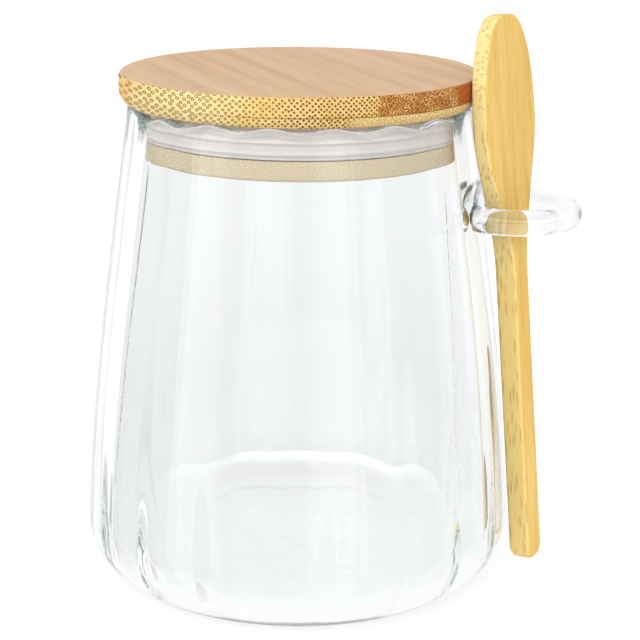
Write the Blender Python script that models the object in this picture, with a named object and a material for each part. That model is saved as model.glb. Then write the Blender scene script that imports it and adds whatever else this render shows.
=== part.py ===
"""Sugar jar: a fluted clear glass jar, a bamboo lid with a silicone seal, and a bamboo spoon in a glass ring.

Units are metres. The jar's axis is Z and its flat underside is z = 0. The front faces -Y, and the glass
ring with the spoon is at the right, toward +X.
"""

import math

import bmesh
import bpy

# Glass wall, outside: a straight cone at the top that eases toward upright lower down
RIM_RADIUS = 0.0372
RIM_HEIGHT = 0.1057
CONE_TAPER = 0.138
CONE_FOOT = 0.064
TAPER_EASING = 1.68
HEEL_TOP = 0.0125
CONTACT_RADIUS = 0.037
HEEL_WALL_HANDLE = 0.0058
HEEL_BASE_HANDLE = 0.0062

# Glass wall, inside: flutes with a rib between each two, as the glass was blown in a ribbed mould
FLUTES = 18
FIRST_RIB = math.radians(10.5)
FLUTE_WALL = 0.0020
RIB_HEIGHT = 0.0006
RIM_WAVE = 0.00045
RIM_ROUNDING = 0.0006
FLOOR_THICKNESS = 0.0042
FLOOR_RADIUS = 0.034
INNER_HEEL_TOP = 0.016

# Glass ring, bent from a rod and fused to the wall
RING_RADIUS = 0.0118
RING_ROD_RADIUS = 0.0028
RING_CENTRE = (0.0467, -0.0079, 0.0836)
FUSED_PAD_HALF_SIZE = (0.0032, 0.0100, 0.0044)
FUSED_PAD_RISE = 0.0022
FUSING_DEPTH = 0.0011

# Bamboo lid: a disc, and below it a plug with a groove that the seal sits in
LID_RADIUS = 0.0391
LID_TOP = 0.1130
LID_UNDERSIDE = 0.1065
LID_TOP_ROUNDING = 0.0012
LID_LOWER_ROUNDING = 0.0037
LID_ROUNDING_START = 0.1094
PLUG_RADIUS = 0.0336
PLUG_BOTTOM = 0.0949
PLUG_ROUNDING = 0.0007
GROOVE_RADIUS = 0.0320
GROOVE_BOTTOM = 0.0991

# Silicone seal
FIT_GAP = 0.0003
SEAL_RADIUS = 0.0342
SEAL_LIP = 0.0004

# Bamboo spoon, hung bowl up, with its broad face turned to the right and its top leaning to the jar
SPOON_TIP = (0.0519, -0.0097, 0.0040)
SPOON_LENGTH = 0.1224
SPOON_LEAN = math.radians(4.8)
SPOON_FACE_TURN = math.radians(55)
HANDLE_WIDTH = 0.0058
HANDLE_THICKNESS = 0.0053
HANDLE_END = 0.0670
TIP_ROUNDING = 0.0030
BOWL_WIDTH = 0.0217
BOWL_THICKNESS = 0.0037
BOWL_WIDEST = 0.1002
BOWL_END_WIDTH = 0.0040
SCOOP_DEPTH = 0.0009
SPOON_EDGE_ROUNDING = 0.0008

# Facets
SEGMENTS_PER_FLUTE = 4
LID_SEGMENTS = 60
RING_SEGMENTS = 44
ROD_SEGMENTS = 14


def clear_scene():
    for obj in list(bpy.data.objects):
        bpy.data.objects.remove(obj, do_unlink=True)


def make_material(name, colour, roughness, transmission=0.0, ior=1.45):
    material = bpy.data.materials.new(name)
    material.use_nodes = True
    material.diffuse_color = colour
    shader = material.node_tree.nodes["Principled BSDF"]
    shader.inputs["Base Color"].default_value = colour
    shader.inputs["Roughness"].default_value = roughness
    shader.inputs["Metallic"].default_value = 0.0
    shader.inputs["Transmission Weight"].default_value = transmission
    shader.inputs["IOR"].default_value = ior
    return material


def add_object(name, mesh_builder, material):
    """A new object from a bmesh, with its faces turned outward and shaded smooth but for sharp edges."""
    bmesh.ops.recalc_face_normals(mesh_builder, faces=mesh_builder.faces)
    mesh = bpy.data.meshes.new(name)
    mesh_builder.to_mesh(mesh)
    mesh_builder.free()
    mesh.shade_smooth()
    mesh.set_sharp_from_angle(angle=math.radians(40))
    if material:
        mesh.materials.append(material)
    obj = bpy.data.objects.new(name, mesh)
    bpy.context.scene.collection.objects.link(obj)
    return obj


def bezier(start, start_handle, end_handle, end, steps):
    """Points of a cubic curve in the (radius, height) plane, both ends included."""
    points = []
    for i in range(steps + 1):
        t = i / steps
        weights = ((1 - t) ** 3, 3 * t * (1 - t) ** 2, 3 * t**2 * (1 - t), t**3)
        curve = (start, start_handle, end_handle, end)
        points.append(tuple(sum(w * p[k] for w, p in zip(weights, curve)) for k in (0, 1)))
    return points


def arc(centre, radius, start, end, steps):
    """Points of a circle's arc in the (radius, height) plane, with the angles in degrees."""
    points = []
    for i in range(steps + 1):
        angle = math.radians(start + (end - start) * i / steps)
        points.append((centre[0] + radius * math.cos(angle), centre[1] + radius * math.sin(angle)))
    return points


def turned_mesh(rows, segments):
    """A closed turned mesh. Each row gives its (radius, height) at an angle, and the end rows close at Z."""
    builder = bmesh.new()
    rings = []
    for row in rows:
        ring = []
        for i in range(segments):
            angle = FIRST_RIB + 2 * math.pi * i / segments
            radius, height = row(angle)
            ring.append(builder.verts.new((radius * math.sin(angle), -radius * math.cos(angle), height)))
        rings.append(ring)
    for lower, upper in zip(rings, rings[1:]):
        for i in range(segments):
            j = (i + 1) % segments
            builder.faces.new((lower[i], lower[j], upper[j], upper[i]))
    for ring in (rings[0], rings[-1]):
        pole = builder.verts.new((0, 0, ring[0].co.z))
        for i in range(segments):
            builder.faces.new((ring[i], ring[(i + 1) % segments], pole))
    return builder


def plain_rows(points):
    """Rows that are the same all round."""
    return [lambda angle, point=point: point for point in points]


def outer_radius(height):
    """The outside of the wall above the heel."""
    radius = RIM_RADIUS + CONE_TAPER * (RIM_HEIGHT - height)
    below = max(0.0, CONE_FOOT - height)
    return radius - TAPER_EASING * below**2 / 2


def rib(angle):
    """1 on a rib's crest and 0 in the middle of a flute."""
    return 1 - abs(math.sin(FLUTES * (angle - FIRST_RIB) / 2))


def rim_wave(angle):
    """The rim stands higher at each rib."""
    return RIM_WAVE * math.cos(FLUTES * (angle - FIRST_RIB))


def wall_row(height, depth_share, wave_share=0.0):
    """A row of the glass, from the outside (0) to the fluted inside (1)."""

    def row(angle):
        depth = FLUTE_WALL + RIB_HEIGHT * rib(angle)
        return outer_radius(height) - depth_share * depth, height + wave_share * rim_wave(angle)

    return row


def inner_heel_row(point, rib_share):
    """A row inside the heel, where the ribs fade out toward the floor."""
    return lambda angle: (point[0] - rib_share * RIB_HEIGHT * rib(angle), point[1])


def jar_rows():
    heel_top = (outer_radius(HEEL_TOP), HEEL_TOP)
    heel_slope = CONE_TAPER - TAPER_EASING * (CONE_FOOT - HEEL_TOP)
    wall_handle = (heel_top[0] + heel_slope * HEEL_WALL_HANDLE, HEEL_TOP - HEEL_WALL_HANDLE)
    base_handle = (CONTACT_RADIUS + HEEL_BASE_HANDLE, 0.0)
    heel = bezier((CONTACT_RADIUS, 0.0), base_handle, wall_handle, heel_top, 7)
    rows = plain_rows([(CONTACT_RADIUS / 2, 0.0)] + heel)
    wall_top = RIM_HEIGHT - RIM_ROUNDING
    wall_steps = 7
    for i in range(1, wall_steps + 1):
        rows.append(wall_row(HEEL_TOP + (wall_top - HEEL_TOP) * i / wall_steps, 0.0, i / wall_steps))
    rows.append(wall_row(RIM_HEIGHT - 0.3 * RIM_ROUNDING, 0.1, 1.0))
    rows.append(wall_row(RIM_HEIGHT, 0.35, 1.0))
    rows.append(wall_row(RIM_HEIGHT, 0.65, 1.0))
    rows.append(wall_row(RIM_HEIGHT - 0.3 * RIM_ROUNDING, 0.9, 1.0))
    for i in range(wall_steps, 0, -1):
        height = INNER_HEEL_TOP + (wall_top - INNER_HEEL_TOP) * i / wall_steps
        rows.append(wall_row(height, 1.0, i / wall_steps))
    inner_top = (outer_radius(INNER_HEEL_TOP) - FLUTE_WALL, INNER_HEEL_TOP)
    inner_handle = (inner_top[0] + 0.0004, INNER_HEEL_TOP - 0.0068)
    floor_handle = (FLOOR_RADIUS + 0.0065, FLOOR_THICKNESS)
    inner_heel = bezier(inner_top, inner_handle, floor_handle, (FLOOR_RADIUS, FLOOR_THICKNESS), 6)
    for i, point in enumerate(inner_heel):
        rows.append(inner_heel_row(point, 1 - i / (len(inner_heel) - 1)))
    rows.extend(plain_rows([(FLOOR_RADIUS / 2, FLOOR_THICKNESS)]))
    return rows


def as_helper(obj):
    """A shape that only serves a Boolean and isn't a piece of the jar."""
    obj.hide_render = True
    obj.display_type = "WIRE"
    return obj


def add_boolean(obj, operation, other):
    modifier = obj.modifiers.new(operation.lower() + " " + other.name, "BOOLEAN")
    modifier.operation = operation
    modifier.solver = "EXACT"
    modifier.object = other


def make_ring():
    """The bent rod and the pad where it is fused on, ending inside the thickness of the wall."""
    bpy.ops.mesh.primitive_torus_add(
        location=RING_CENTRE,
        major_segments=RING_SEGMENTS,
        minor_segments=ROD_SEGMENTS,
        major_radius=RING_RADIUS,
        minor_radius=RING_ROD_RADIUS,
    )
    ring = as_helper(bpy.context.active_object)
    ring.name = "ring_shape"
    turn = math.atan2(RING_CENTRE[1], RING_CENTRE[0])
    pad_height = RING_CENTRE[2] + FUSED_PAD_RISE
    pad_distance = outer_radius(pad_height) - FUSING_DEPTH
    bpy.ops.mesh.primitive_uv_sphere_add(
        segments=20,
        ring_count=10,
        location=(pad_distance * math.cos(turn), pad_distance * math.sin(turn), pad_height),
        rotation=(0, 0, turn),
        scale=FUSED_PAD_HALF_SIZE,
    )
    pad = as_helper(bpy.context.active_object)
    pad.name = "pad_shape"
    reach = 0.012
    low = RING_CENTRE[2] - reach
    high = RING_CENTRE[2] + reach
    bpy.ops.mesh.primitive_cone_add(
        vertices=SEGMENTS_PER_FLUTE * FLUTES,
        radius1=outer_radius(low) - FUSING_DEPTH,
        radius2=outer_radius(high) - FUSING_DEPTH,
        depth=high - low,
        location=(0, 0, (low + high) / 2),
    )
    core = as_helper(bpy.context.active_object)
    core.name = "core_shape"
    add_boolean(ring, "UNION", pad)
    add_boolean(ring, "DIFFERENCE", core)
    return ring


def make_jar(glass):
    jar = add_object("jar", turned_mesh(jar_rows(), SEGMENTS_PER_FLUTE * FLUTES), glass)
    add_boolean(jar, "UNION", make_ring())
    return jar


def make_lid(bamboo):
    top_centre = (LID_RADIUS - LID_TOP_ROUNDING, LID_TOP - LID_TOP_ROUNDING)
    top_edge = arc(top_centre, LID_TOP_ROUNDING, 90, 0, 4)
    lower_centre = (LID_RADIUS - LID_LOWER_ROUNDING, LID_ROUNDING_START)
    lower_angle = math.degrees(math.asin((LID_ROUNDING_START - LID_UNDERSIDE) / LID_LOWER_ROUNDING))
    lower_edge = arc(lower_centre, LID_LOWER_ROUNDING, 0, -lower_angle, 6)
    plug_centre = (PLUG_RADIUS - PLUG_ROUNDING, PLUG_BOTTOM + PLUG_ROUNDING)
    plug_edge = arc(plug_centre, PLUG_ROUNDING, 0, -90, 3)
    points = [(LID_RADIUS / 2, LID_TOP)]
    points += top_edge + lower_edge
    points += [(GROOVE_RADIUS, LID_UNDERSIDE), (GROOVE_RADIUS, GROOVE_BOTTOM), (PLUG_RADIUS, GROOVE_BOTTOM)]
    points += plug_edge + [(PLUG_RADIUS / 2, PLUG_BOTTOM)]
    return add_object("lid", turned_mesh(plain_rows(points), LID_SEGMENTS), bamboo)


def make_seal(silicone):
    """A band round the plug with two soft lips against the glass."""
    bottom = GROOVE_BOTTOM + FIT_GAP
    top = LID_UNDERSIDE - FIT_GAP
    inner = GROOVE_RADIUS + FIT_GAP
    builder = bmesh.new()
    section = [(inner, bottom), (SEAL_RADIUS - SEAL_LIP, bottom)]
    for share, lip in ((0.15, 1.0), (0.35, 0.0), (0.6, 0.0), (0.82, 1.0)):
        section.append((SEAL_RADIUS - SEAL_LIP * (1 - lip), bottom + share * (top - bottom)))
    section += [(SEAL_RADIUS - SEAL_LIP, top), (inner, top)]
    rings = []
    for i in range(LID_SEGMENTS):
        angle = 2 * math.pi * i / LID_SEGMENTS
        rings.append([builder.verts.new((r * math.sin(angle), -r * math.cos(angle), z)) for r, z in section])
    for i, ring in enumerate(rings):
        following = rings[(i + 1) % LID_SEGMENTS]
        for j in range(len(section)):
            k = (j + 1) % len(section)
            builder.faces.new((ring[j], following[j], following[k], ring[k]))
    return add_object("seal_ring", builder, silicone)


def smooth_share(value):
    """0 to 1 with no corner at either end."""
    value = min(max(value, 0.0), 1.0)
    return value * value * (3 - 2 * value)


def spoon_size(height):
    """Width, thickness and scoop depth of the spoon at a height above its tip."""
    share = smooth_share((height - HANDLE_END) / (BOWL_WIDEST - HANDLE_END))
    width = HANDLE_WIDTH + (BOWL_WIDTH - HANDLE_WIDTH) * share
    thinning = smooth_share((height - HANDLE_END) / (BOWL_WIDEST - HANDLE_END) * 1.3)
    thickness = HANDLE_THICKNESS + (BOWL_THICKNESS - HANDLE_THICKNESS) * thinning
    if height < TIP_ROUNDING:
        width *= 0.35 + 0.65 * math.sqrt(1 - (1 - height / TIP_ROUNDING) ** 2)
        thickness *= 0.7 + 0.3 * math.sqrt(1 - (1 - height / TIP_ROUNDING) ** 2)
    scoop = SCOOP_DEPTH * share**3
    if height > BOWL_WIDEST:
        rise = (height - BOWL_WIDEST) / (SPOON_LENGTH - BOWL_WIDEST)
        roundness = math.sqrt(max(0.0, 1 - rise**2.1))
        width = BOWL_END_WIDTH + (BOWL_WIDTH - BOWL_END_WIDTH) * roundness
        scoop = SCOOP_DEPTH * max(0.0, 1 - rise**2.5)
    return width, thickness, scoop


def spoon_section(height):
    """A rounded bar. Its hidden face, at -Y here, is hollowed in the bowl."""
    width, thickness, scoop = spoon_size(height)
    rounding = min(SPOON_EDGE_ROUNDING, 0.3 * width)
    across = width / 2 - rounding
    through = thickness / 2 - rounding
    points = []
    for quarter, (sx, sy) in enumerate(((1, 1), (-1, 1), (-1, -1), (1, -1))):
        for step in range(3):
            angle = math.radians(90 * quarter + 45 * step)
            x = sx * across + rounding * math.cos(angle)
            y = sy * through + rounding * math.sin(angle)
            points.append((x, y))
        if quarter in (0, 2):
            for share in (0.5, 0.0, -0.5):
                hollow = scoop * (1 - share**2) if quarter == 2 else 0.0
                points.append((sx * share * across, sy * (thickness / 2 - hollow)))
    return points


def make_spoon(bamboo):
    """The length is cut finely at both rounded ends and coarsely along the straight handle."""
    heights = [TIP_ROUNDING * (1 - math.cos(math.radians(15 * i))) for i in range(7)]
    heights += [HANDLE_END * share for share in (0.2, 0.5, 0.8, 1.0)]
    taper_steps = 9
    heights += [HANDLE_END + (BOWL_WIDEST - HANDLE_END) * i / taper_steps for i in range(1, taper_steps + 1)]
    end_steps = 11
    end_length = SPOON_LENGTH - BOWL_WIDEST
    heights += [BOWL_WIDEST + end_length * math.sin(math.radians(90 * i / end_steps)) for i in range(1, end_steps + 1)]
    builder = bmesh.new()
    rings = []
    for height in heights:
        rings.append([builder.verts.new((x, y, height)) for x, y in spoon_section(height)])
    for lower, upper in zip(rings, rings[1:]):
        for i in range(len(lower)):
            j = (i + 1) % len(lower)
            builder.faces.new((lower[i], lower[j], upper[j], upper[i]))
    builder.faces.new(rings[0])
    builder.faces.new(rings[-1])
    spoon = add_object("spoon", builder, bamboo)
    spoon.location = SPOON_TIP
    spoon.rotation_mode = "ZYX"
    spoon.rotation_euler = (0, -SPOON_LEAN, math.pi + SPOON_FACE_TURN)
    return spoon


def main():
    clear_scene()
    bpy.context.scene.unit_settings.scale_length = 1.0
    glass = make_material("clear_glass", (0.97, 0.99, 0.985, 1.0), 0.02, transmission=1.0, ior=1.47)
    lid_bamboo = make_material("lid_bamboo", (0.62, 0.36, 0.17, 1.0), 0.5)
    spoon_bamboo = make_material("spoon_bamboo", (0.80, 0.52, 0.16, 1.0), 0.5)
    silicone = make_material("silicone", (0.72, 0.66, 0.64, 1.0), 0.4, transmission=0.3, ior=1.41)
    make_jar(glass)
    make_lid(lid_bamboo)
    make_seal(silicone)
    make_spoon(spoon_bamboo)


main()
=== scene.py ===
"""Looks of the sugar jar: glass jar with its ring, bamboo lid with a silicone seal, and bamboo spoon.

Units are metres, in the frame of the CAD model: Z is the jar's axis and z = 0 its underside.
"""

import math

import bmesh
import bpy
from mathutils import Euler, Matrix, Vector


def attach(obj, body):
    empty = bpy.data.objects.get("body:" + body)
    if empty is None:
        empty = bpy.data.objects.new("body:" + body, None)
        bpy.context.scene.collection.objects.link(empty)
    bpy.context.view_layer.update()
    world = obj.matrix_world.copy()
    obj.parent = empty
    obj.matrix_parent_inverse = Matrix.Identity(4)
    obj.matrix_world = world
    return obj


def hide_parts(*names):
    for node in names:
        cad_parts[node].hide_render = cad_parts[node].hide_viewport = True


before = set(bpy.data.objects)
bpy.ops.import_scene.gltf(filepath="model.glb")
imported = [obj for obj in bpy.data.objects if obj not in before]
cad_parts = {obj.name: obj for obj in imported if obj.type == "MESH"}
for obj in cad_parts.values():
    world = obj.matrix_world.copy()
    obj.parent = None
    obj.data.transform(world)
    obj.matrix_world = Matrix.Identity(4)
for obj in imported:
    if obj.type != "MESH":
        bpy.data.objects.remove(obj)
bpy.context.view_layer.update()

# Edges that turn by more than this stay sharp in the shading
SHARP_DEGREES = 60
TURNED_SHARP_DEGREES = 40
SPOON_SHARP_DEGREES = 50

# Glass wall, outside, as in the solid
RIM_RADIUS = 0.0372
RIM_HEIGHT = 0.1057
CONE_TAPER = 0.138
CONE_FOOT = 0.064
TAPER_EASING = 1.68
HEEL_TOP = 0.0125
CONTACT_RADIUS = 0.037
HEEL_WALL_HANDLE = 0.0058
HEEL_BASE_HANDLE = 0.0062

# Glass wall, inside
FLUTES = 18
FIRST_RIB = math.radians(10.5)
RIM_WALL = 0.0026
LOWER_WALL = 0.00305
THICKENING_TOP = 0.1057
THICKENING_FOOT = 0.0975
RIB_HEIGHT = 0.00035
RIB_SOFTNESS = 0.12
RIM_WAVE = 0.00045
RIM_ROUNDING = 0.0011
FLOOR_THICKNESS = 0.0033
FLOOR_RADIUS = 0.0360
INNER_HEEL_TOP = 0.0145
INNER_HEEL_HANDLE = 0.0062
FLOOR_HANDLE = 0.0056
HEEL_RIB_HEIGHT = 0.0010
SHARP_RIBS_TOP = 0.040
SHARP_RIBS_SPAN = 0.030
SCALLOP_FADE_START = 0.45
SCALLOP_FADE_SPAN = 0.55
FLUTE_STEPS = (0, 0.5, 1.1, 2.2, 4.0, 6.5, 10, 13.5, 16, 17.8, 18.9, 19.5)
FLUTE_ARC = 20.0

# Two drawn lines in the wall: azimuth in degrees at the middle height, its change for each metre up, and
# what the line adds to the wall's thickness
DRAWN_LINES = ((-59.1, 40.0, 0.00030), (51.5, 90.0, 0.00010))
LINE_MIDDLE = 0.062
LINE_FADE_FOOT = 0.020
LINE_FADE_SPAN = 0.026
LINE_HALF_WIDTH = 0.0004
LINE_TOP = 0.098
LINE_TOP_FADE = 0.010
LINE_SPREAD = 4.0
LINE_STEP = 0.25

# Glass, and the light lost on a long way through it, as a colour and a density for each metre
GLASS_COLOUR = (0.985, 0.995, 1.0, 1)
GLASS_INDEX = 1.47
GLASS_TINT = (0.30, 0.45, 0.42, 1)
GLASS_DENSITY = 2.6
SMEARS = (60, 60, 25)
WALL_WAVES = (90, 90, 30)
BASE_RIPPLES = (260, 260, 120)
RIPPLES_FOOT = 0.0015
RIPPLES_TOP = 0.0160
RIPPLES_SHARE = 0.45

# Glass ring
RING_RADIUS = 0.0118
RING_ROD_RADIUS = 0.0028
RING_CENTRE = (0.0467, -0.0079, 0.0836)
FUSED_PAD_HALF_SIZE = (0.0021, 0.0088, 0.0044)
FUSED_PAD_RISE = 0.0022
FUSING_DEPTH = 0.0011
RING_REACH = 0.012
RING_MESH_ARC = 19.0
RING_MESH_ARC_STEP = 0.6
RING_MESH_FOOT = 0.0785
RING_MESH_TOP = 0.0925
RING_MESH_ROWS = 31

# Bamboo lid
LID_RADIUS = 0.0391
LID_TOP = 0.1130
LID_UNDERSIDE = 0.1065
LID_TOP_ROUNDING = 0.0012
LID_LOWER_ROUNDING = 0.0037
LID_ROUNDING_START = 0.1094
LID_SEAM = 0.1087
LID_SEAM_DEPTH = 0.00012
LID_SEAM_HALF = 0.00009
PLUG_RADIUS = 0.0336
PLUG_BOTTOM = 0.0949
PLUG_ROUNDING = 0.0007
GROOVE_RADIUS = 0.0320
GROOVE_BOTTOM = 0.0991
LID_STEPS = 256
LID_SIDE_STEP = 0.0006
PLUG_SIDE_STEP = 0.0012

# Looks of the lid: turns of its fibres, noise in waves for each metre across the fibres and along them, and
# places across the fibres where the side changes
LID_TOP_FIBRE_TURN = math.radians(20)
LID_SIDE_FIBRE_TURN = math.radians(10)
LID_SIDE_MIDDLE = 0.1100
LID_TOP_TONE = (0.765, 0.765, 0.745, 1)
LID_SIDE_TONE = (0.72, 0.66, 0.55, 1)
LID_BROAD_NOISE = (110, 110, 12)
LID_PATCHES = (420, 420, 20)
LID_STREAKS = (1500, 1500, 12)
LID_STRANDS = (2600, 2600, 60)
LID_BANDS = (260, 260, 9)
BUNDLE_SPACING = 0.001
BUNDLE_DENSITY = 1.283
BUNDLE_DENSITY_RISE = 9.4
FINE_BUNDLE_SPACING = 0.00047
RINGS_TO_SPOTS = (-0.0240, -0.0060)
PALE_TO_GOLDEN = (-0.0180, 0.0040)
OLIVE_TO_BROWN_DOTS = (-0.0240, 0.0020)
COARSE_TO_FINE = (0.0080, 0.0110)
COARSE_TO_FINE_WAVE = 0.006
# The dark strip on the side's far right is partly painted shade
DARK_STRIP_AND_SHADE = (0.0276, 0.0288)
WARM_END = (-0.0384, -0.0355)
PALE_PLY = (0.0015, 0.0060)
SEAM_SHOWS = (-0.0260, -0.0010)
SEAM_FADE = (0.00006, 0.00016)
PLY_FADE = 0.0001
# Heights where the plug's paler colour, which is painted light, takes over
PAINTED_PLUG_FADE = (0.1000, 0.1003)
# Slopes of the normal where the top's colour, which is partly a painted sheen, takes over from the side's
TOP_SHEEN_SLOPE = (0.72, 0.9)

# Looks of the spoon, with noise and cells in waves for each metre across the grain and along it
SPOON_TONE = (0.79, 0.76, 0.66, 1)
SPOON_BROAD_NOISE = (300, 300, 25)
SPOON_FINE_NOISE = (2600, 2600, 70)
SPOON_DASHES = (1500, 1500, 160)
SPOON_END_DOTS = (900, 900, 900)
SPOON_END = (0.0960, 0.1120)
# Shares of edge where the paler edge colour, which is partly a painted highlight, takes over from the face's
SPOON_EDGE_AND_HIGHLIGHT_SHARE = (0.5, 0.9)
GOLDEN_HANDLE = (0.0600, 0.0800)
WOOD_SPECULAR = 0.25

# Silicone seal
FIT_GAP = 0.0003
SEAL_RADIUS = 0.0342
SEAL_LIP = 0.0004
SEAL_LIP_PLACES = (0.16, 0.5, 0.84)
SEAL_LIP_WIDTH = 0.055
SILICONE_INDEX = 1.41
SILICONE_CLOUD = (120, 120, 60)
SILICONE_FINE_NOISE = (4000, 4000, 4000)

# Bamboo spoon
SPOON_TIP = (0.0519, -0.0097, 0.0040)
SPOON_LENGTH = 0.1224
SPOON_LEAN = math.radians(4.8)
SPOON_FACE_TURN = math.radians(55)
HANDLE_WIDTH = 0.0058
HANDLE_THICKNESS = 0.0053
HANDLE_END = 0.0670
TIP_ROUNDING = 0.0030
TIP_WIDTH_SHARE = 0.35
TIP_THICKNESS_SHARE = 0.7
THINNING_RATE = 1.3
BOWL_WIDTH = 0.0217
BOWL_THICKNESS = 0.0037
BOWL_WIDEST = 0.1002
BOWL_END_WIDTH = 0.0040
BOWL_END_POWER = 2.1
SCOOP_DEPTH = 0.0009
SCOOP_START_POWER = 3
SCOOP_END_POWER = 2.5
SPOON_EDGE_ROUNDING = 0.0008
MOST_ROUNDING_SHARE = 0.3

# Studio floor
FLOOR_DISC_RADIUS = 40.0
FLOOR_DROP = 0.0002
FLOOR_PATCHES = (3, 3, 3)
FLOOR_GLOW = 0.72

# White surround: radiance at azimuths in degrees, 0 toward the camera's side and growing toward +X. The
# heights are those of a direction of length 1.
UPPER_SURROUND = (
    (-180, 1.0), (-130, 1.0), (-90, 1.8), (-62, 4.0), (24, 4.0), (40, 2.8), (85, 1.2), (120, 1.0),
    (180, 1.0),
)
LOWER_SURROUND = (
    (-180, 1.0), (-164, 0.99), (-158, 0.9), (-150, 0.9), (-147, 1.5), (-139, 1.5), (-135, 0.8), (-115, 0.5),
    (-70, 0.4), (-67, 2.0), (-52, 0.9), (-40, 0.45), (4, 0.45), (18, 1.1), (30, 2.0), (32, 0.6), (60, 0.5),
    (85, 0.5), (112, 1.0), (140, 1.05), (180, 1.0),
)
UPPER_START = 0.26
DIMMING_START = 0.22
DIMMING_RATE = 0.9
DIMMING_LEAST = 0.92
STEEP_START = 0.5
STEEP_RATE = 5.0
STEEP_RADIANCE = 1.0
MOST_RADIANCE = 4.0
LIGHT_BOUNCES = 250

# Camera, fitted to the photograph; its frame is 640 pixels wide
FRAME_PIXELS = 640
FOCAL_PIXELS = 1800.0
SENSOR_WIDTH = 36.0
CAMERA_DISTANCE = 0.3891
CAMERA_HEIGHT = 0.1675
CAMERA_PITCH = math.radians(15.90)
CAMERA_YAW = math.radians(0.70)
CAMERA_ROLL = math.radians(0.45)


def add_mesh_object(name, builder, material, sharp_degrees=SHARP_DEGREES):
    """A smooth shaded object from a bmesh, with its sharper edges kept."""
    bmesh.ops.recalc_face_normals(builder, faces=builder.faces)
    mesh = bpy.data.meshes.new(name)
    builder.to_mesh(mesh)
    builder.free()
    mesh.shade_smooth()
    mesh.set_sharp_from_angle(angle=math.radians(sharp_degrees))
    mesh.materials.append(material)
    obj = bpy.data.objects.new(name, mesh)
    bpy.context.scene.collection.objects.link(obj)
    return obj


def bezier(start, start_handle, end_handle, end, steps):
    points = []
    for i in range(steps + 1):
        t = i / steps
        weights = ((1 - t) ** 3, 3 * t * (1 - t) ** 2, 3 * t**2 * (1 - t), t**3)
        curve = (start, start_handle, end_handle, end)
        points.append(tuple(sum(w * p[k] for w, p in zip(weights, curve)) for k in (0, 1)))
    return points


def arc(centre, radius, start, end, steps):
    points = []
    for i in range(steps + 1):
        angle = math.radians(start + (end - start) * i / steps)
        points.append((centre[0] + radius * math.cos(angle), centre[1] + radius * math.sin(angle)))
    return points


def turned_mesh(rows, angles):
    """A closed turned mesh. Each row gives its (radius, height) at an angle, and the end rows close at Z."""
    builder = bmesh.new()
    rings = []
    for row in rows:
        ring = []
        for angle in angles:
            radius, height = row(angle)
            ring.append(builder.verts.new((radius * math.sin(angle), -radius * math.cos(angle), height)))
        rings.append(ring)
    count = len(angles)
    for lower, upper in zip(rings, rings[1:]):
        for i in range(count):
            j = (i + 1) % count
            builder.faces.new((lower[i], lower[j], upper[j], upper[i]))
    for ring in (rings[0], rings[-1]):
        pole = builder.verts.new((0, 0, ring[0].co.z))
        for i in range(count):
            builder.faces.new((ring[i], ring[(i + 1) % count], pole))
    return builder


def plain_rows(points):
    return [lambda angle, point=point: point for point in points]


def even_angles(count):
    return [2 * math.pi * i / count for i in range(count)]


def outer_radius(height):
    radius = RIM_RADIUS + CONE_TAPER * (RIM_HEIGHT - height)
    below = max(0.0, CONE_FOOT - height)
    return radius - TAPER_EASING * below**2 / 2


def rib(angle, sharpness):
    """1 on a rib's crest and 0 in a flute's middle: a soft wave, or a rounded ridge where it is sharp."""
    wave = math.sin(FLUTES * (angle - FIRST_RIB) / 2)
    ridge = 1 + RIB_SOFTNESS - math.sqrt(wave**2 + RIB_SOFTNESS**2)
    return sharpness * ridge + (1 - sharpness) * (1 - wave**2)


def smooth_share(value):
    value = min(max(value, 0.0), 1.0)
    return value * value * (3 - 2 * value)


def wall_thickness(height):
    return LOWER_WALL + (RIM_WALL - LOWER_WALL) * smooth_share(
        (height - THICKENING_FOOT) / (THICKENING_TOP - THICKENING_FOOT)
    )


def drawn_line(angle, height):
    """How much the two drawn lines add to the wall's thickness."""
    total = 0.0
    for degrees, lean, line_height in DRAWN_LINES:
        centre = math.radians(degrees + lean * (height - LINE_MIDDLE))
        away = (angle - centre + math.pi) % (2 * math.pi) - math.pi
        total += line_height * math.exp(-((away * outer_radius(height) / LINE_HALF_WIDTH) ** 2))
    below_top = smooth_share((LINE_TOP - height) / LINE_TOP_FADE)
    above_foot = smooth_share((height - LINE_FADE_FOOT) / LINE_FADE_SPAN)
    return total * below_top * above_foot


def rim_wave(angle):
    return RIM_WAVE * math.cos(FLUTES * (angle - FIRST_RIB))


def wall_row(height, depth_share, wave_share, drop=0.0):
    """A row at a share of the wall's depth, from 0 outside to 1 inside, with a share of the rim's waves."""
    sharpness = smooth_share((SHARP_RIBS_TOP - height) / SHARP_RIBS_SPAN)
    rib_height = RIB_HEIGHT + (HEEL_RIB_HEIGHT - RIB_HEIGHT) * sharpness

    def row(angle):
        level = height - drop
        depth = wall_thickness(level) + rib_height * rib(angle, sharpness) + drawn_line(angle, level)
        return outer_radius(level) - depth_share * depth, level + wave_share * rim_wave(angle)

    return row


def inner_heel_row(point, normal, rib_share):
    """A row of the inside of the heel, where the ribs run out in scallops."""

    def row(angle):
        rise = rib_share * HEEL_RIB_HEIGHT * rib(angle, 1.0)
        return point[0] + normal[0] * rise, point[1] + normal[1] * rise

    return row


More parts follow.
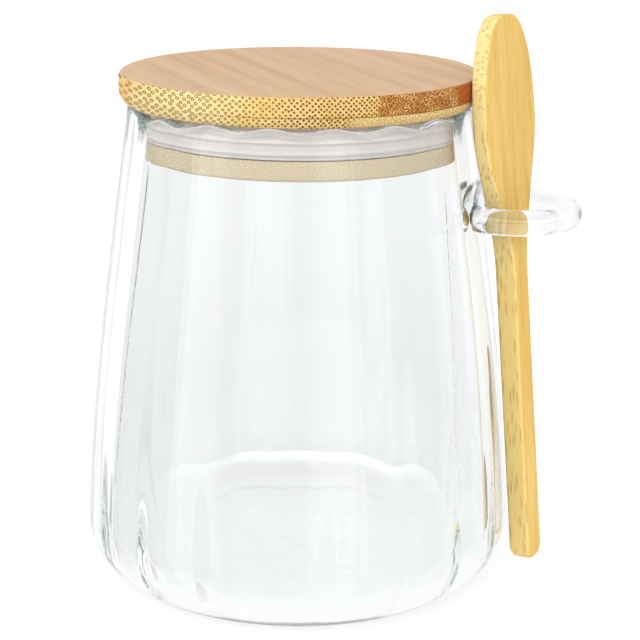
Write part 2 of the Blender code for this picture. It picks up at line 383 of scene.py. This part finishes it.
def jar_rows():
    """The jar's rows, from the middle of its underside over the rim to the middle of its floor."""
    heel_steps = 24
    wall_steps = 36
    rim_steps = 14
    inner_heel_steps = 28
    heel_top = (outer_radius(HEEL_TOP), HEEL_TOP)
    heel_slope = CONE_TAPER - TAPER_EASING * (CONE_FOOT - HEEL_TOP)
    wall_handle = (heel_top[0] + heel_slope * HEEL_WALL_HANDLE, HEEL_TOP - HEEL_WALL_HANDLE)
    base_handle = (CONTACT_RADIUS + HEEL_BASE_HANDLE, 0.0)
    heel = bezier((CONTACT_RADIUS, 0.0), base_handle, wall_handle, heel_top, heel_steps)
    rows = plain_rows([(CONTACT_RADIUS * share, 0.0) for share in (0.3, 0.6, 0.85, 0.96)] + heel)
    wall_top = RIM_HEIGHT - RIM_ROUNDING
    outer_heights = [HEEL_TOP + (wall_top - HEEL_TOP) * i / wall_steps for i in range(1, wall_steps + 1)]
    outer_heights = [height for height in outer_heights if not RING_MESH_FOOT <= height <= RING_MESH_TOP]
    ring_span = RING_MESH_TOP - RING_MESH_FOOT
    outer_heights += [RING_MESH_FOOT + ring_span * i / (RING_MESH_ROWS - 1) for i in range(RING_MESH_ROWS)]
    for height in sorted(outer_heights):
        rows.append(wall_row(height, 0.0, (height - HEEL_TOP) / (wall_top - HEEL_TOP)))
    for i in range(1, rim_steps):
        turn = math.pi * i / rim_steps
        drop = RIM_ROUNDING * (1 - math.sin(turn))
        rows.append(wall_row(RIM_HEIGHT, (1 - math.cos(turn)) / 2, 1.0, drop))
    for i in range(wall_steps, 0, -1):
        height = INNER_HEEL_TOP + (wall_top - INNER_HEEL_TOP) * i / wall_steps
        rows.append(wall_row(height, 1.0, i / wall_steps))
    inner_top = (outer_radius(INNER_HEEL_TOP) - LOWER_WALL, INNER_HEEL_TOP)
    inner_handle = (inner_top[0], INNER_HEEL_TOP - INNER_HEEL_HANDLE)
    floor_handle = (FLOOR_RADIUS + FLOOR_HANDLE, FLOOR_THICKNESS)
    floor_edge = (FLOOR_RADIUS, FLOOR_THICKNESS)
    inner_heel = bezier(inner_top, inner_handle, floor_handle, floor_edge, inner_heel_steps)
    for i, point in enumerate(inner_heel):
        share = i / inner_heel_steps
        turn = math.radians(90) * share
        rib_share = 1 - smooth_share((share - SCALLOP_FADE_START) / SCALLOP_FADE_SPAN)
        rows.append(inner_heel_row(point, (-math.cos(turn), math.sin(turn)), rib_share))
    rows.extend(plain_rows([(FLOOR_RADIUS * share, FLOOR_THICKNESS) for share in (0.9, 0.7, 0.4)]))
    return rows


def add_boolean(obj, operation, other):
    modifier = obj.modifiers.new(operation.lower() + " " + other.name, "BOOLEAN")
    modifier.operation = operation
    modifier.solver = "EXACT"
    modifier.object = other


def apply_modifiers(obj):
    """The object's mesh with its modifiers applied, which then go."""
    bpy.context.view_layer.update()
    graph = bpy.context.evaluated_depsgraph_get()
    mesh = bpy.data.meshes.new_from_object(obj.evaluated_get(graph))
    obj.modifiers.clear()
    obj.data = mesh
    return mesh


def make_ring_shape():
    """The bent rod and the pad that fuses it to the wall, as one rounded body ending inside the wall."""
    bpy.ops.mesh.primitive_torus_add(
        location=RING_CENTRE,
        major_segments=160,
        minor_segments=40,
        major_radius=RING_RADIUS,
        minor_radius=RING_ROD_RADIUS,
    )
    ring = bpy.context.active_object
    ring.name = "ring_shape"
    turn = math.atan2(RING_CENTRE[1], RING_CENTRE[0])
    pad_height = RING_CENTRE[2] + FUSED_PAD_RISE
    pad_distance = outer_radius(pad_height) - FUSING_DEPTH
    bpy.ops.mesh.primitive_uv_sphere_add(
        segments=64,
        ring_count=32,
        location=(pad_distance * math.cos(turn), pad_distance * math.sin(turn), pad_height),
        rotation=(0, 0, turn),
        scale=FUSED_PAD_HALF_SIZE,
    )
    pad = bpy.context.active_object
    pad.name = "pad_shape"
    low = RING_CENTRE[2] - RING_REACH
    high = RING_CENTRE[2] + RING_REACH
    bpy.ops.mesh.primitive_cone_add(
        vertices=360,
        radius1=outer_radius(low) - FUSING_DEPTH,
        radius2=outer_radius(high) - FUSING_DEPTH,
        depth=high - low,
        location=(0, 0, (low + high) / 2),
    )
    core = bpy.context.active_object
    core.name = "core_shape"
    add_boolean(ring, "UNION", pad)
    remesh = ring.modifiers.new("blend", "REMESH")
    remesh.mode = "VOXEL"
    remesh.voxel_size = 0.00028
    smooth = ring.modifiers.new("smooth", "SMOOTH")
    smooth.factor = 0.5
    smooth.iterations = 12
    add_boolean(ring, "DIFFERENCE", core)
    apply_modifiers(ring)
    for helper in (pad, core):
        bpy.data.objects.remove(helper, do_unlink=True)
    return ring


def make_jar(material):
    first = math.degrees(FIRST_RIB)
    degrees = {round(first + FLUTE_ARC * i + step, 3) % 360 for i in range(FLUTES) for step in FLUTE_STEPS}
    ring_azimuth = 90 + math.degrees(math.atan2(RING_CENTRE[1], RING_CENTRE[0]))
    finer = [(middle, LINE_SPREAD, LINE_STEP) for middle, _, _ in DRAWN_LINES]
    finer.append((ring_azimuth, RING_MESH_ARC, RING_MESH_ARC_STEP))
    for middle, spread, size in finer:
        degrees = {value for value in degrees if abs((value - middle + 180) % 360 - 180) > spread}
        steps = round(spread / size)
        degrees |= {(middle + size * i) % 360 for i in range(-steps, steps + 1)}
    angles = [math.radians(value) for value in sorted(degrees)]
    jar = add_mesh_object("glass_jar", turned_mesh(jar_rows(), angles), material)
    ring = make_ring_shape()
    add_boolean(jar, "UNION", ring)
    mesh = apply_modifiers(jar)
    bpy.data.objects.remove(ring, do_unlink=True)
    mesh.shade_smooth()
    mesh.set_sharp_from_angle(angle=math.radians(SHARP_DEGREES))
    mesh.materials.clear()
    mesh.materials.append(material)
    return jar


def make_lid(material):
    top_centre = (LID_RADIUS - LID_TOP_ROUNDING, LID_TOP - LID_TOP_ROUNDING)
    top_edge = arc(top_centre, LID_TOP_ROUNDING, 90, 0, 12)
    side = [(LID_RADIUS, LID_TOP - LID_TOP_ROUNDING - LID_SIDE_STEP * i) for i in (1, 2, 3)]
    lower_centre = (LID_RADIUS - LID_LOWER_ROUNDING, LID_ROUNDING_START)
    lower_angle = math.degrees(math.asin((LID_ROUNDING_START - LID_UNDERSIDE) / LID_LOWER_ROUNDING))
    lower_edge = arc(lower_centre, LID_LOWER_ROUNDING, 0, -lower_angle, 24)
    seam_angle = math.asin((LID_ROUNDING_START - LID_SEAM) / LID_LOWER_ROUNDING)
    seam_radius = lower_centre[0] + LID_LOWER_ROUNDING * math.cos(seam_angle)
    above = [p for p in lower_edge if p[1] > LID_SEAM + 2 * LID_SEAM_HALF]
    below = [p for p in lower_edge if p[1] < LID_SEAM - 2 * LID_SEAM_HALF]
    seam = [
        (seam_radius, LID_SEAM + LID_SEAM_HALF),
        (seam_radius - LID_SEAM_DEPTH, LID_SEAM),
        (seam_radius, LID_SEAM - LID_SEAM_HALF),
    ]
    plug_centre = (PLUG_RADIUS - PLUG_ROUNDING, PLUG_BOTTOM + PLUG_ROUNDING)
    plug_edge = arc(plug_centre, PLUG_ROUNDING, 0, -90, 8)
    points = [(LID_RADIUS * share, LID_TOP) for share in (0.3, 0.6, 0.85)]
    points += top_edge + side + above + seam + below
    points += [(GROOVE_RADIUS, LID_UNDERSIDE), (GROOVE_RADIUS, GROOVE_BOTTOM)]
    points += [(PLUG_RADIUS, GROOVE_BOTTOM - PLUG_SIDE_STEP * i) for i in (0, 1, 2)]
    points += plug_edge + [(PLUG_RADIUS * share, PLUG_BOTTOM) for share in (0.9, 0.6, 0.3)]
    builder = turned_mesh(plain_rows(points), even_angles(LID_STEPS))
    return add_mesh_object("bamboo_lid", builder, material, TURNED_SHARP_DEGREES)


def make_seal(material):
    bottom = GROOVE_BOTTOM + FIT_GAP
    top = LID_UNDERSIDE - FIT_GAP
    inner = GROOVE_RADIUS + FIT_GAP
    outer = SEAL_RADIUS - SEAL_LIP
    section = [(inner, bottom), (outer, bottom)]
    lip_steps = 60
    for i in range(1, lip_steps):
        share = i / lip_steps
        lip = sum(math.exp(-(((share - centre) / SEAL_LIP_WIDTH) ** 2)) for centre in SEAL_LIP_PLACES)
        section.append((outer + SEAL_LIP * min(lip, 1.0), bottom + share * (top - bottom)))
    section += [(outer, top), (inner, top)]
    builder = bmesh.new()
    rings = []
    for angle in even_angles(LID_STEPS):
        rings.append([builder.verts.new((r * math.sin(angle), -r * math.cos(angle), z)) for r, z in section])
    for i, ring in enumerate(rings):
        following = rings[(i + 1) % LID_STEPS]
        for j in range(len(section)):
            k = (j + 1) % len(section)
            builder.faces.new((ring[j], following[j], following[k], ring[k]))
    return add_mesh_object("silicone_seal", builder, material, TURNED_SHARP_DEGREES)


def spoon_size(height):
    """The spoon's width, thickness and depth of its hollow at a height above its tip."""
    share = smooth_share((height - HANDLE_END) / (BOWL_WIDEST - HANDLE_END))
    width = HANDLE_WIDTH + (BOWL_WIDTH - HANDLE_WIDTH) * share
    thinning = smooth_share((height - HANDLE_END) / (BOWL_WIDEST - HANDLE_END) * THINNING_RATE)
    thickness = HANDLE_THICKNESS + (BOWL_THICKNESS - HANDLE_THICKNESS) * thinning
    if height < TIP_ROUNDING:
        roundness = math.sqrt(1 - (1 - height / TIP_ROUNDING) ** 2)
        width *= TIP_WIDTH_SHARE + (1 - TIP_WIDTH_SHARE) * roundness
        thickness *= TIP_THICKNESS_SHARE + (1 - TIP_THICKNESS_SHARE) * roundness
    scoop = SCOOP_DEPTH * share**SCOOP_START_POWER
    if height > BOWL_WIDEST:
        rise = (height - BOWL_WIDEST) / (SPOON_LENGTH - BOWL_WIDEST)
        roundness = math.sqrt(max(0.0, 1 - rise**BOWL_END_POWER))
        width = BOWL_END_WIDTH + (BOWL_WIDTH - BOWL_END_WIDTH) * roundness
        scoop = SCOOP_DEPTH * max(0.0, 1 - rise**SCOOP_END_POWER)
    return width, thickness, scoop


def spoon_section(height):
    """Points round the spoon: x, y and a share that is 0 on the faces and 1 on the edges."""
    width, thickness, scoop = spoon_size(height)
    rounding = min(SPOON_EDGE_ROUNDING, MOST_ROUNDING_SHARE * width)
    across = width / 2 - rounding
    through = thickness / 2 - rounding
    corner_steps = 6
    face_steps = 12
    points = []
    for quarter, (sx, sy) in enumerate(((1, 1), (-1, 1), (-1, -1), (1, -1))):
        for step in range(corner_steps + 1):
            angle = math.radians(90 * quarter + 90 * step / corner_steps)
            x = sx * across + rounding * math.cos(angle)
            points.append((x, sy * through + rounding * math.sin(angle), abs(math.cos(angle))))
        if quarter in (0, 2):
            for step in range(1, face_steps):
                share = 1 - 2 * step / face_steps
                hollow = scoop * (1 - share**2) if quarter == 2 else 0.0
                points.append((sx * share * across, sy * (thickness / 2 - hollow), 0.0))
        else:
            for share in (0.5, 0.0, -0.5):
                points.append((sx * width / 2, sy * share * through, 1.0))
    return points


def spoon_heights():
    """Heights of the spoon's sections above its tip, closer together at its two ends."""
    tip_steps = 15
    handle_steps = 30
    taper_steps = 32
    end_steps = 30
    heights = [TIP_ROUNDING * (1 - math.cos(math.radians(90 * i / tip_steps))) for i in range(tip_steps + 1)]
    handle_length = HANDLE_END - TIP_ROUNDING
    heights += [TIP_ROUNDING + handle_length * i / handle_steps for i in range(1, handle_steps + 1)]
    taper_length = BOWL_WIDEST - HANDLE_END
    heights += [HANDLE_END + taper_length * i / taper_steps for i in range(1, taper_steps + 1)]
    end_length = SPOON_LENGTH - BOWL_WIDEST
    for i in range(1, end_steps + 1):
        heights.append(BOWL_WIDEST + end_length * math.sin(math.radians(90 * i / end_steps)))
    return heights


def make_spoon(material):
    turn = Euler((0, -SPOON_LEAN, math.pi + SPOON_FACE_TURN), "ZYX").to_matrix()
    builder = bmesh.new()
    grain = builder.verts.layers.float_vector.new("grain")
    edge = builder.verts.layers.float.new("edge")
    rings = []
    for height in spoon_heights():
        ring = []
        for x, y, edge_share in spoon_section(height):
            vertex = builder.verts.new(Vector(SPOON_TIP) + turn @ Vector((x, y, height)))
            vertex[grain] = (x, y, height)
            vertex[edge] = edge_share
            ring.append(vertex)
        rings.append(ring)
    for lower, upper in zip(rings, rings[1:]):
        for i in range(len(lower)):
            j = (i + 1) % len(lower)
            builder.faces.new((lower[i], lower[j], upper[j], upper[i]))
    builder.faces.new(rings[0])
    builder.faces.new(rings[-1])
    return add_mesh_object("bamboo_spoon", builder, material, SPOON_SHARP_DEGREES)


# Sockets of the Mix node that hold colours
MIX_FIRST_COLOUR = 6
MIX_SECOND_COLOUR = 7
MIX_COLOUR_RESULT = 2


class Nodes:
    """The node tree of a material or of the world, with short calls for the nodes used here."""

    def __init__(self, owner, shader="Principled BSDF"):
        self.owner = owner
        owner.use_nodes = True
        self.tree = owner.node_tree
        self.shader = self.tree.nodes[shader]

    def link(self, source, target):
        if isinstance(source, bpy.types.NodeSocket):
            self.tree.links.new(source, target)
        else:
            target.default_value = source

    def add(self, kind, inputs=(), **settings):
        node = self.tree.nodes.new(kind)
        for key, value in settings.items():
            setattr(node, key, value)
        for key, value in dict(inputs).items():
            self.link(value, node.inputs[key])
        return node

    def set(self, **values):
        """Link or set sockets of the shader, whose names are written with _ for a space."""
        for name, value in values.items():
            self.link(value, self.shader.inputs[name.replace("_", " ")])

    def math(self, operation, a, b=0.0):
        return self.add("ShaderNodeMath", {0: a, 1: b}, operation=operation).outputs[0]

    def product(self, a, b):
        return self.math("MULTIPLY", a, b)

    def object_place(self):
        return self.add("ShaderNodeTexCoord").outputs["Object"]

    def mapped(self, vector, scale, rotation=(0, 0, 0)):
        settings = {"Vector": vector, "Scale": scale, "Rotation": rotation}
        return self.add("ShaderNodeMapping", settings).outputs[0]

    def noise(self, vector, scale, detail):
        """Noise whose scale gives its waves for each metre along the three directions."""
        inputs = {"Vector": self.mapped(vector, scale), "Scale": 1.0, "Detail": detail}
        return self.add("ShaderNodeTexNoise", inputs).outputs["Fac"]

    def cell_distance(self, vector, randomness, dimensions="3D"):
        """The distance to the middle of the nearest cell, where the cells are 1 apart."""
        inputs = {"Vector": vector, "Scale": 1.0, "Randomness": randomness}
        return self.add("ShaderNodeTexVoronoi", inputs, voronoi_dimensions=dimensions).outputs["Distance"]

    def ramp(self, value, *stops):
        """A colour or a level that changes with the value, from stops of a place and what it is there."""
        node = self.add("ShaderNodeValToRGB", {"Fac": value})
        elements = node.color_ramp.elements
        while len(elements) < len(stops):
            elements.new(0.5)
        for element, (place, colour) in zip(elements, stops):
            element.position = place
            element.color = colour if isinstance(colour, tuple) else (colour, colour, colour, 1.0)
        return node.outputs["Color"]

    def mix(self, share, a, b, blend="MIX"):
        node = self.add("ShaderNodeMix", data_type="RGBA", blend_type=blend)
        self.link(share, node.inputs[0])
        self.link(a, node.inputs[MIX_FIRST_COLOUR])
        self.link(b, node.inputs[MIX_SECOND_COLOUR])
        return node.outputs[MIX_COLOUR_RESULT]

    def range(self, value, low, high, to_low=0.0, to_high=1.0):
        inputs = {"Value": value, "From Min": low, "From Max": high, "To Min": to_low, "To Max": to_high}
        return self.add("ShaderNodeMapRange", inputs, interpolation_type="SMOOTHSTEP").outputs[0]

    def bump(self, height, strength, distance):
        inputs = {"Height": height, "Strength": strength, "Distance": distance}
        return self.add("ShaderNodeBump", inputs).outputs[0]


def srgb(red, green, blue):
    """A linear colour from 0 to 255 screen values."""
    values = []
    for part in (red, green, blue):
        share = part / 255
        values.append(share / 12.92 if share <= 0.04045 else ((share + 0.055) / 1.055) ** 2.4)
    return (*values, 1.0)


def glass_material():
    n = Nodes(bpy.data.materials.new("clear_glass"))
    place = n.object_place()
    height = n.add("ShaderNodeSeparateXYZ", {"Vector": place}).outputs[2]
    smears = n.noise(place, SMEARS, 4)
    waves = n.noise(place, WALL_WAVES, 1)
    ripples = n.noise(place, BASE_RIPPLES, 3)
    near_base = n.range(height, RIPPLES_FOOT, RIPPLES_TOP, RIPPLES_SHARE, 0.0)
    relief = n.math("ADD", waves, n.product(ripples, near_base))
    n.set(
        Base_Color=GLASS_COLOUR,
        Transmission_Weight=1.0,
        IOR=GLASS_INDEX,
        Roughness=n.range(smears, 0.45, 0.8, 0.0, 0.03),
        Normal=n.bump(relief, 0.25, 0.0004),
    )
    absorption = n.add("ShaderNodeVolumeAbsorption", {"Color": GLASS_TINT, "Density": GLASS_DENSITY})
    n.link(absorption.outputs[0], n.tree.nodes["Material Output"].inputs["Volume"])
    return n.owner


def fibre_frame(n, place, turn):
    """The place across the fibres, the height, and the whole place with Z along the fibres."""
    settings = {"Vector": place, "Angle": -turn}
    turned = n.add("ShaderNodeVectorRotate", settings, rotation_type="Z_AXIS").outputs[0]
    across, along, up = n.add("ShaderNodeSeparateXYZ", {"Vector": turned}).outputs
    fibre = n.add("ShaderNodeCombineXYZ", {"X": across, "Y": up, "Z": along}).outputs[0]
    return across, up, fibre


def bundle_distance(n, across, up, spacing, randomness):
    """The distance to the nearest fibre bundle, in bundle spacings, in a loose diagonal lattice."""
    plane = n.add("ShaderNodeCombineXYZ", {"X": across, "Y": up}).outputs[0]
    scale = 1 / spacing
    lattice = n.mapped(plane, (scale, scale, scale), (0, 0, math.radians(45)))
    return n.cell_distance(lattice, randomness, "2D")


def lid_side_dots(n, across, above, broad, to_fine, fine_dots):
    """The cut bundles: large and open on the left, then smaller and solid, and fine past the middle."""
    density = n.math("ADD", n.product(across, BUNDLE_DENSITY_RISE), BUNDLE_DENSITY)
    mean_density = n.math("ADD", n.product(across, BUNDLE_DENSITY_RISE / 2), BUNDLE_DENSITY)
    stretched = (n.product(across, mean_density), n.product(above, density))
    distance = bundle_distance(n, *stretched, BUNDLE_SPACING, 0.3)
    wobble = n.product(n.math("SUBTRACT", broad, 0.5), 0.3)
    distance = n.math("ADD", distance, wobble)
    rings = n.ramp(distance, (0.0, 0.2), (0.1, 0.3), (0.22, 1.0), (0.28, 0.8), (0.38, 0.0))
    spots = n.ramp(distance, (0.0, 1.0), (0.24, 0.9), (0.38, 0.0))
    coarse_dots = n.mix(n.range(across, *RINGS_TO_SPOTS), rings, spots)
    return n.mix(to_fine, coarse_dots, fine_dots)


def lid_side_colour(n, across, up, fibre, fine_dots):
    above = n.math("SUBTRACT", up, LID_SIDE_MIDDLE)
    broad = n.noise(fibre, LID_BROAD_NOISE, 3)
    patchy = n.noise(fibre, LID_PATCHES, 2)
    streaks = n.noise(fibre, LID_STREAKS, 2)
    wave = n.product(n.math("SUBTRACT", patchy, 0.5), COARSE_TO_FINE_WAVE)
    to_fine = n.range(n.math("ADD", across, wave), *COARSE_TO_FINE)

    tone = n.range(broad, 0.35, 0.7)
    pale = n.mix(tone, srgb(255, 242, 188), srgb(247, 216, 140))
    golden = n.mix(tone, srgb(248, 220, 148), srgb(234, 184, 100))
    brown = n.mix(n.range(patchy, 0.35, 0.65), srgb(240, 190, 112), srgb(208, 140, 62))
    ground = n.mix(n.range(across, *PALE_TO_GOLDEN), pale, golden)
    ground = n.mix(to_fine, ground, brown)
    dots = lid_side_dots(n, across, above, broad, to_fine, fine_dots)
    dot_colour = n.mix(n.range(across, *OLIVE_TO_BROWN_DOTS), srgb(124, 94, 34), srgb(100, 54, 16))
    side = n.mix(dots, ground, dot_colour)

    # The far right of the side is painted a dark orange with streaks. This is partly the bamboo's own
    # streaky colour, and partly painted shade where the side turns away from the light.
    strip_and_shade = n.mix(streaks, srgb(204, 110, 10), srgb(150, 62, 2))
    side = n.mix(n.range(across, *DARK_STRIP_AND_SHADE), side, strip_and_shade)
    warm = n.product(n.range(across, *WARM_END, 1.0, 0.0), n.range(streaks, 0.4, 0.65))
    side = n.mix(n.product(warm, 0.4), side, srgb(232, 156, 50))
    below_seam = n.range(up, LID_SEAM - PLY_FADE, LID_SEAM, 1.0, 0.0)
    lower_ply = n.product(below_seam, n.range(across, *PALE_PLY))
    ply = n.mix(n.product(fine_dots, 0.5), srgb(255, 234, 172), srgb(150, 110, 44))
    side = n.mix(n.product(lower_ply, 0.85), side, ply)
    return n.mix(1.0, side, LID_SIDE_TONE, "MULTIPLY")


def lid_material():
    n = Nodes(bpy.data.materials.new("lid_bamboo"))
    place = n.object_place()
    across, up, fibre = fibre_frame(n, place, LID_SIDE_FIBRE_TURN)
    top_fibre = fibre_frame(n, place, LID_TOP_FIBRE_TURN)[2]
    above = n.math("SUBTRACT", up, LID_SIDE_MIDDLE)
    fine = bundle_distance(n, across, above, FINE_BUNDLE_SPACING, 0.7)
    fine_dots = n.ramp(fine, (0.0, 1.0), (0.28, 0.9), (0.48, 0.0))
    side = lid_side_colour(n, across, up, fibre, fine_dots)

    strands = n.noise(top_fibre, LID_STRANDS, 3)
    bands = n.noise(top_fibre, LID_BANDS, 3)
    grain = n.math("ADD", n.product(strands, 0.55), n.product(bands, 0.45))
    # The top is painted a paler, pinker tan than the golden side. This is partly the different cut of the
    # bamboo there, and partly a painted sheen of white light on the top.
    tones = ((0.30, srgb(192, 148, 106)), (0.5, srgb(217, 176, 135)), (0.7, srgb(231, 198, 160)))
    top = n.mix(1.0, n.ramp(grain, *tones), LID_TOP_TONE, "MULTIPLY")
    normal = n.add("ShaderNodeNewGeometry").outputs["Normal"]
    normal_up = n.add("ShaderNodeSeparateXYZ", {"Vector": normal}).outputs[2]
    on_flat_sheen = n.range(n.math("ABSOLUTE", normal_up), *TOP_SHEEN_SLOPE)
    colour = n.mix(on_flat_sheen, side, top)
    # The plug is painted paler than the rest of the bamboo. This is painted light, standing in for the light
    # that reaches it through the glass.
    plug_with_painted_light = n.mix(n.product(fine_dots, 0.4), srgb(255, 240, 206), srgb(232, 188, 124))
    colour = n.mix(n.range(up, *PAINTED_PLUG_FADE, 1.0, 0.0), colour, plug_with_painted_light)
    from_seam = n.math("ABSOLUTE", n.math("SUBTRACT", up, LID_SEAM))
    seam = n.product(n.range(from_seam, *SEAM_FADE, 1.0, 0.0), n.range(across, *SEAM_SHOWS))
    n.set(
        Base_Color=n.mix(n.product(seam, 0.7), colour, srgb(120, 78, 30)),
        Specular_IOR_Level=WOOD_SPECULAR,
        Roughness=n.range(strands, 0.3, 0.7, 0.42, 0.6),
        Normal=n.bump(grain, 0.35, 0.00012),
    )
    return n.owner


def spoon_material():
    n = Nodes(bpy.data.materials.new("spoon_bamboo"))
    grain = n.add("ShaderNodeAttribute", attribute_name="grain").outputs["Vector"]
    edge = n.add("ShaderNodeAttribute", attribute_name="edge").outputs["Fac"]
    along = n.add("ShaderNodeSeparateXYZ", {"Vector": grain}).outputs[2]
    broad = n.noise(grain, SPOON_BROAD_NOISE, 4)
    fine = n.noise(grain, SPOON_FINE_NOISE, 3)
    bundles = n.cell_distance(n.mapped(grain, SPOON_DASHES), 0.85)
    dashes = n.ramp(bundles, (0.0, 1.0), (0.22, 0.8), (0.38, 0.0))
    bundle_ends = n.cell_distance(n.mapped(grain, SPOON_END_DOTS), 0.7)
    end_dots = n.ramp(bundle_ends, (0.0, 1.0), (0.25, 0.8), (0.42, 0.0))

    tones = ((0.3, srgb(230, 186, 96)), (0.5, srgb(240, 204, 116)), (0.7, srgb(247, 217, 136)))
    face = n.mix(n.product(fine, 0.25), n.ramp(broad, *tones), srgb(216, 166, 80))
    face = n.mix(n.product(dashes, 0.22), face, srgb(176, 126, 50))
    # The edges are painted paler than the faces. This is partly the bamboo's edge grain with its marks, and
    # partly a painted highlight where the rounded edges catch the light. On the handle, the painted edge is
    # more golden.
    side = n.mix(n.product(fine, 0.3), srgb(253, 231, 168), srgb(242, 206, 126))
    golden = n.range(along, *GOLDEN_HANDLE, 1.0, 0.0)
    side = n.mix(n.product(golden, 0.7), side, srgb(255, 226, 146))
    marks = n.mix(n.range(along, *SPOON_END), dashes, end_dots)
    side = n.mix(n.product(marks, 0.55), side, srgb(178, 126, 48))
    colour = n.mix(n.range(edge, *SPOON_EDGE_AND_HIGHLIGHT_SHARE), face, side)
    n.set(
        Base_Color=n.mix(1.0, colour, SPOON_TONE, "MULTIPLY"),
        Specular_IOR_Level=WOOD_SPECULAR,
        Roughness=n.range(fine, 0.3, 0.7, 0.4, 0.58),
        Normal=n.bump(fine, 0.3, 0.0001),
    )
    return n.owner


def silicone_material():
    n = Nodes(bpy.data.materials.new("silicone"))
    place = n.object_place()
    cloud = n.noise(place, SILICONE_CLOUD, 3)
    fine = n.noise(place, SILICONE_FINE_NOISE, 2)
    n.set(
        Base_Color=n.ramp(cloud, (0.3, srgb(250, 243, 236)), (0.7, srgb(254, 249, 244))),
        IOR=SILICONE_INDEX,
        Roughness=n.range(cloud, 0.3, 0.7, 0.34, 0.46),
        Normal=n.bump(fine, 0.15, 0.00003),
    )
    return n.owner


def floor_material():
    n = Nodes(bpy.data.materials.new("studio_floor"))
    tone = n.noise(n.object_place(), FLOOR_PATCHES, 2)
    n.set(
        Base_Color=n.ramp(tone, (0.3, 0.33), (0.7, 0.35)),
        Roughness=0.9,
        Specular_IOR_Level=0.0,
        Emission_Color=(1, 1, 1, 1),
        Emission_Strength=FLOOR_GLOW,
    )
    return n.owner


def make_floor():
    """A pale floor that catches the shadow, and that reflections and the glass don't show."""
    builder = bmesh.new()
    bmesh.ops.create_circle(builder, cap_ends=True, segments=96, radius=FLOOR_DISC_RADIUS)
    floor = add_mesh_object("studio_floor", builder, floor_material())
    floor.location = (0, 0, -FLOOR_DROP)
    floor.visible_glossy = False
    floor.visible_transmission = False


def make_world():
    """A white surround, with a wide light at the front left and duller walls beside it."""
    world = bpy.data.worlds.new("studio")
    bpy.context.scene.world = world
    n = Nodes(world, "Background")
    direction = n.add("ShaderNodeTexCoord").outputs["Generated"]
    x, y, z = n.add("ShaderNodeSeparateXYZ", {"Vector": direction}).outputs
    azimuth = n.math("ARCTAN2", x, n.product(y, -1.0))
    turn = n.math("ADD", n.product(azimuth, 1 / (2 * math.pi)), 0.5)

    def surround(stops):
        shares = [(degrees / 360 + 0.5, radiance / MOST_RADIANCE) for degrees, radiance in stops]
        return n.ramp(turn, *shares)

    dimming = n.math("ADD", n.product(n.math("ADD", z, DIMMING_START), DIMMING_RATE), 1.0)
    dimming = n.math("MAXIMUM", n.math("MINIMUM", dimming, 1.0), DIMMING_LEAST)
    lower = n.mix(dimming, (0, 0, 0, 1), surround(LOWER_SURROUND))
    sides = n.mix(n.math("GREATER_THAN", z, UPPER_START), lower, surround(UPPER_SURROUND))
    steepness = n.product(n.math("SUBTRACT", n.math("ABSOLUTE", z), STEEP_START), STEEP_RATE)
    steepness = n.math("MINIMUM", n.math("MAXIMUM", steepness, 0.0), 1.0)
    steep = STEEP_RADIANCE / MOST_RADIANCE
    n.set(Color=n.mix(steepness, sides, (steep, steep, steep, 1)), Strength=MOST_RADIANCE)


def set_light_paths():
    """Light may cross the thick glass many times before it leaves, so that the heel isn't black."""
    cycles = bpy.context.scene.cycles
    cycles.max_bounces = LIGHT_BOUNCES
    cycles.transmission_bounces = LIGHT_BOUNCES
    cycles.glossy_bounces = LIGHT_BOUNCES


def make_camera():
    camera = bpy.data.cameras.new("camera")
    camera.sensor_width = SENSOR_WIDTH
    camera.lens = SENSOR_WIDTH * FOCAL_PIXELS / FRAME_PIXELS
    camera.clip_start = 0.01
    obj = bpy.data.objects.new("camera", camera)
    bpy.context.scene.collection.objects.link(obj)
    level = math.cos(CAMERA_PITCH)
    forward = Vector((math.sin(CAMERA_YAW) * level, math.cos(CAMERA_YAW) * level, -math.sin(CAMERA_PITCH)))
    right = Vector((math.cos(CAMERA_YAW), -math.sin(CAMERA_YAW), 0))
    up = right.cross(forward)
    across = right * math.cos(CAMERA_ROLL) + up * math.sin(CAMERA_ROLL)
    upward = up * math.cos(CAMERA_ROLL) - right * math.sin(CAMERA_ROLL)
    place = Matrix((across, upward, -forward)).transposed().to_4x4()
    place.translation = Vector((0, -CAMERA_DISTANCE, CAMERA_HEIGHT))
    obj.matrix_world = place
    bpy.context.scene.camera = obj


def main():
    jar = make_jar(glass_material())
    lid = make_lid(lid_material())
    seal = make_seal(silicone_material())
    spoon = make_spoon(spoon_material())
    bpy.context.view_layer.update()
    for piece, node, slot in (
        (jar, "jar", "clear_glass"),
        (lid, "lid", "lid_bamboo"),
        (seal, "seal_ring", "silicone"),
        (spoon, "spoon", "spoon_bamboo"),
    ):
        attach(piece, "root")
        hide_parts(node)
    make_floor()
    make_world()
    make_camera()
    bpy.context.scene.view_settings.view_transform = "Standard"
    set_light_paths()


main()
